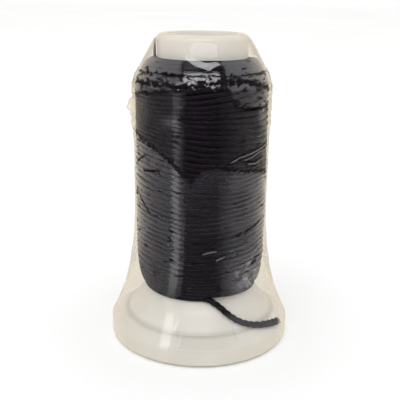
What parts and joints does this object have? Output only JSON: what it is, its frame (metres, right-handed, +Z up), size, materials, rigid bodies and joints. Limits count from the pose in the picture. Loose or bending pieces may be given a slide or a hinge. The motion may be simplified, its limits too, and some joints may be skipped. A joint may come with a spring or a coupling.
{
  "type": "waxed thread spool",
  "caption": "Cone-base plastic spool wound with black waxed thread, its loose end on the base, sealed in clear shrink film.",
  "frame": {"origin": "on the surface it stands on, under the middle of the base", "axes": "+Z up along the spool's axis; -Y is the front, where the thread's loose end lies"},
  "size_m": [0.038, 0.038, 0.0635],
  "materials": {
    "core_plastic": "satin moulded, cream white",
    "waxed_thread": "waxed twisted cord, black",
    "clear_film": "clear glossy shrink film"
  },
  "bodies": {
    "root": {"spool_core": "core_plastic", "winding_pack": "waxed_thread", "outer_turns": "waxed_thread", "foot_turn": "waxed_thread", "loose_tail": "waxed_thread", "tail_fray": "waxed_thread", "shrink_film": "clear_film"}
  },
  "joints": []
}
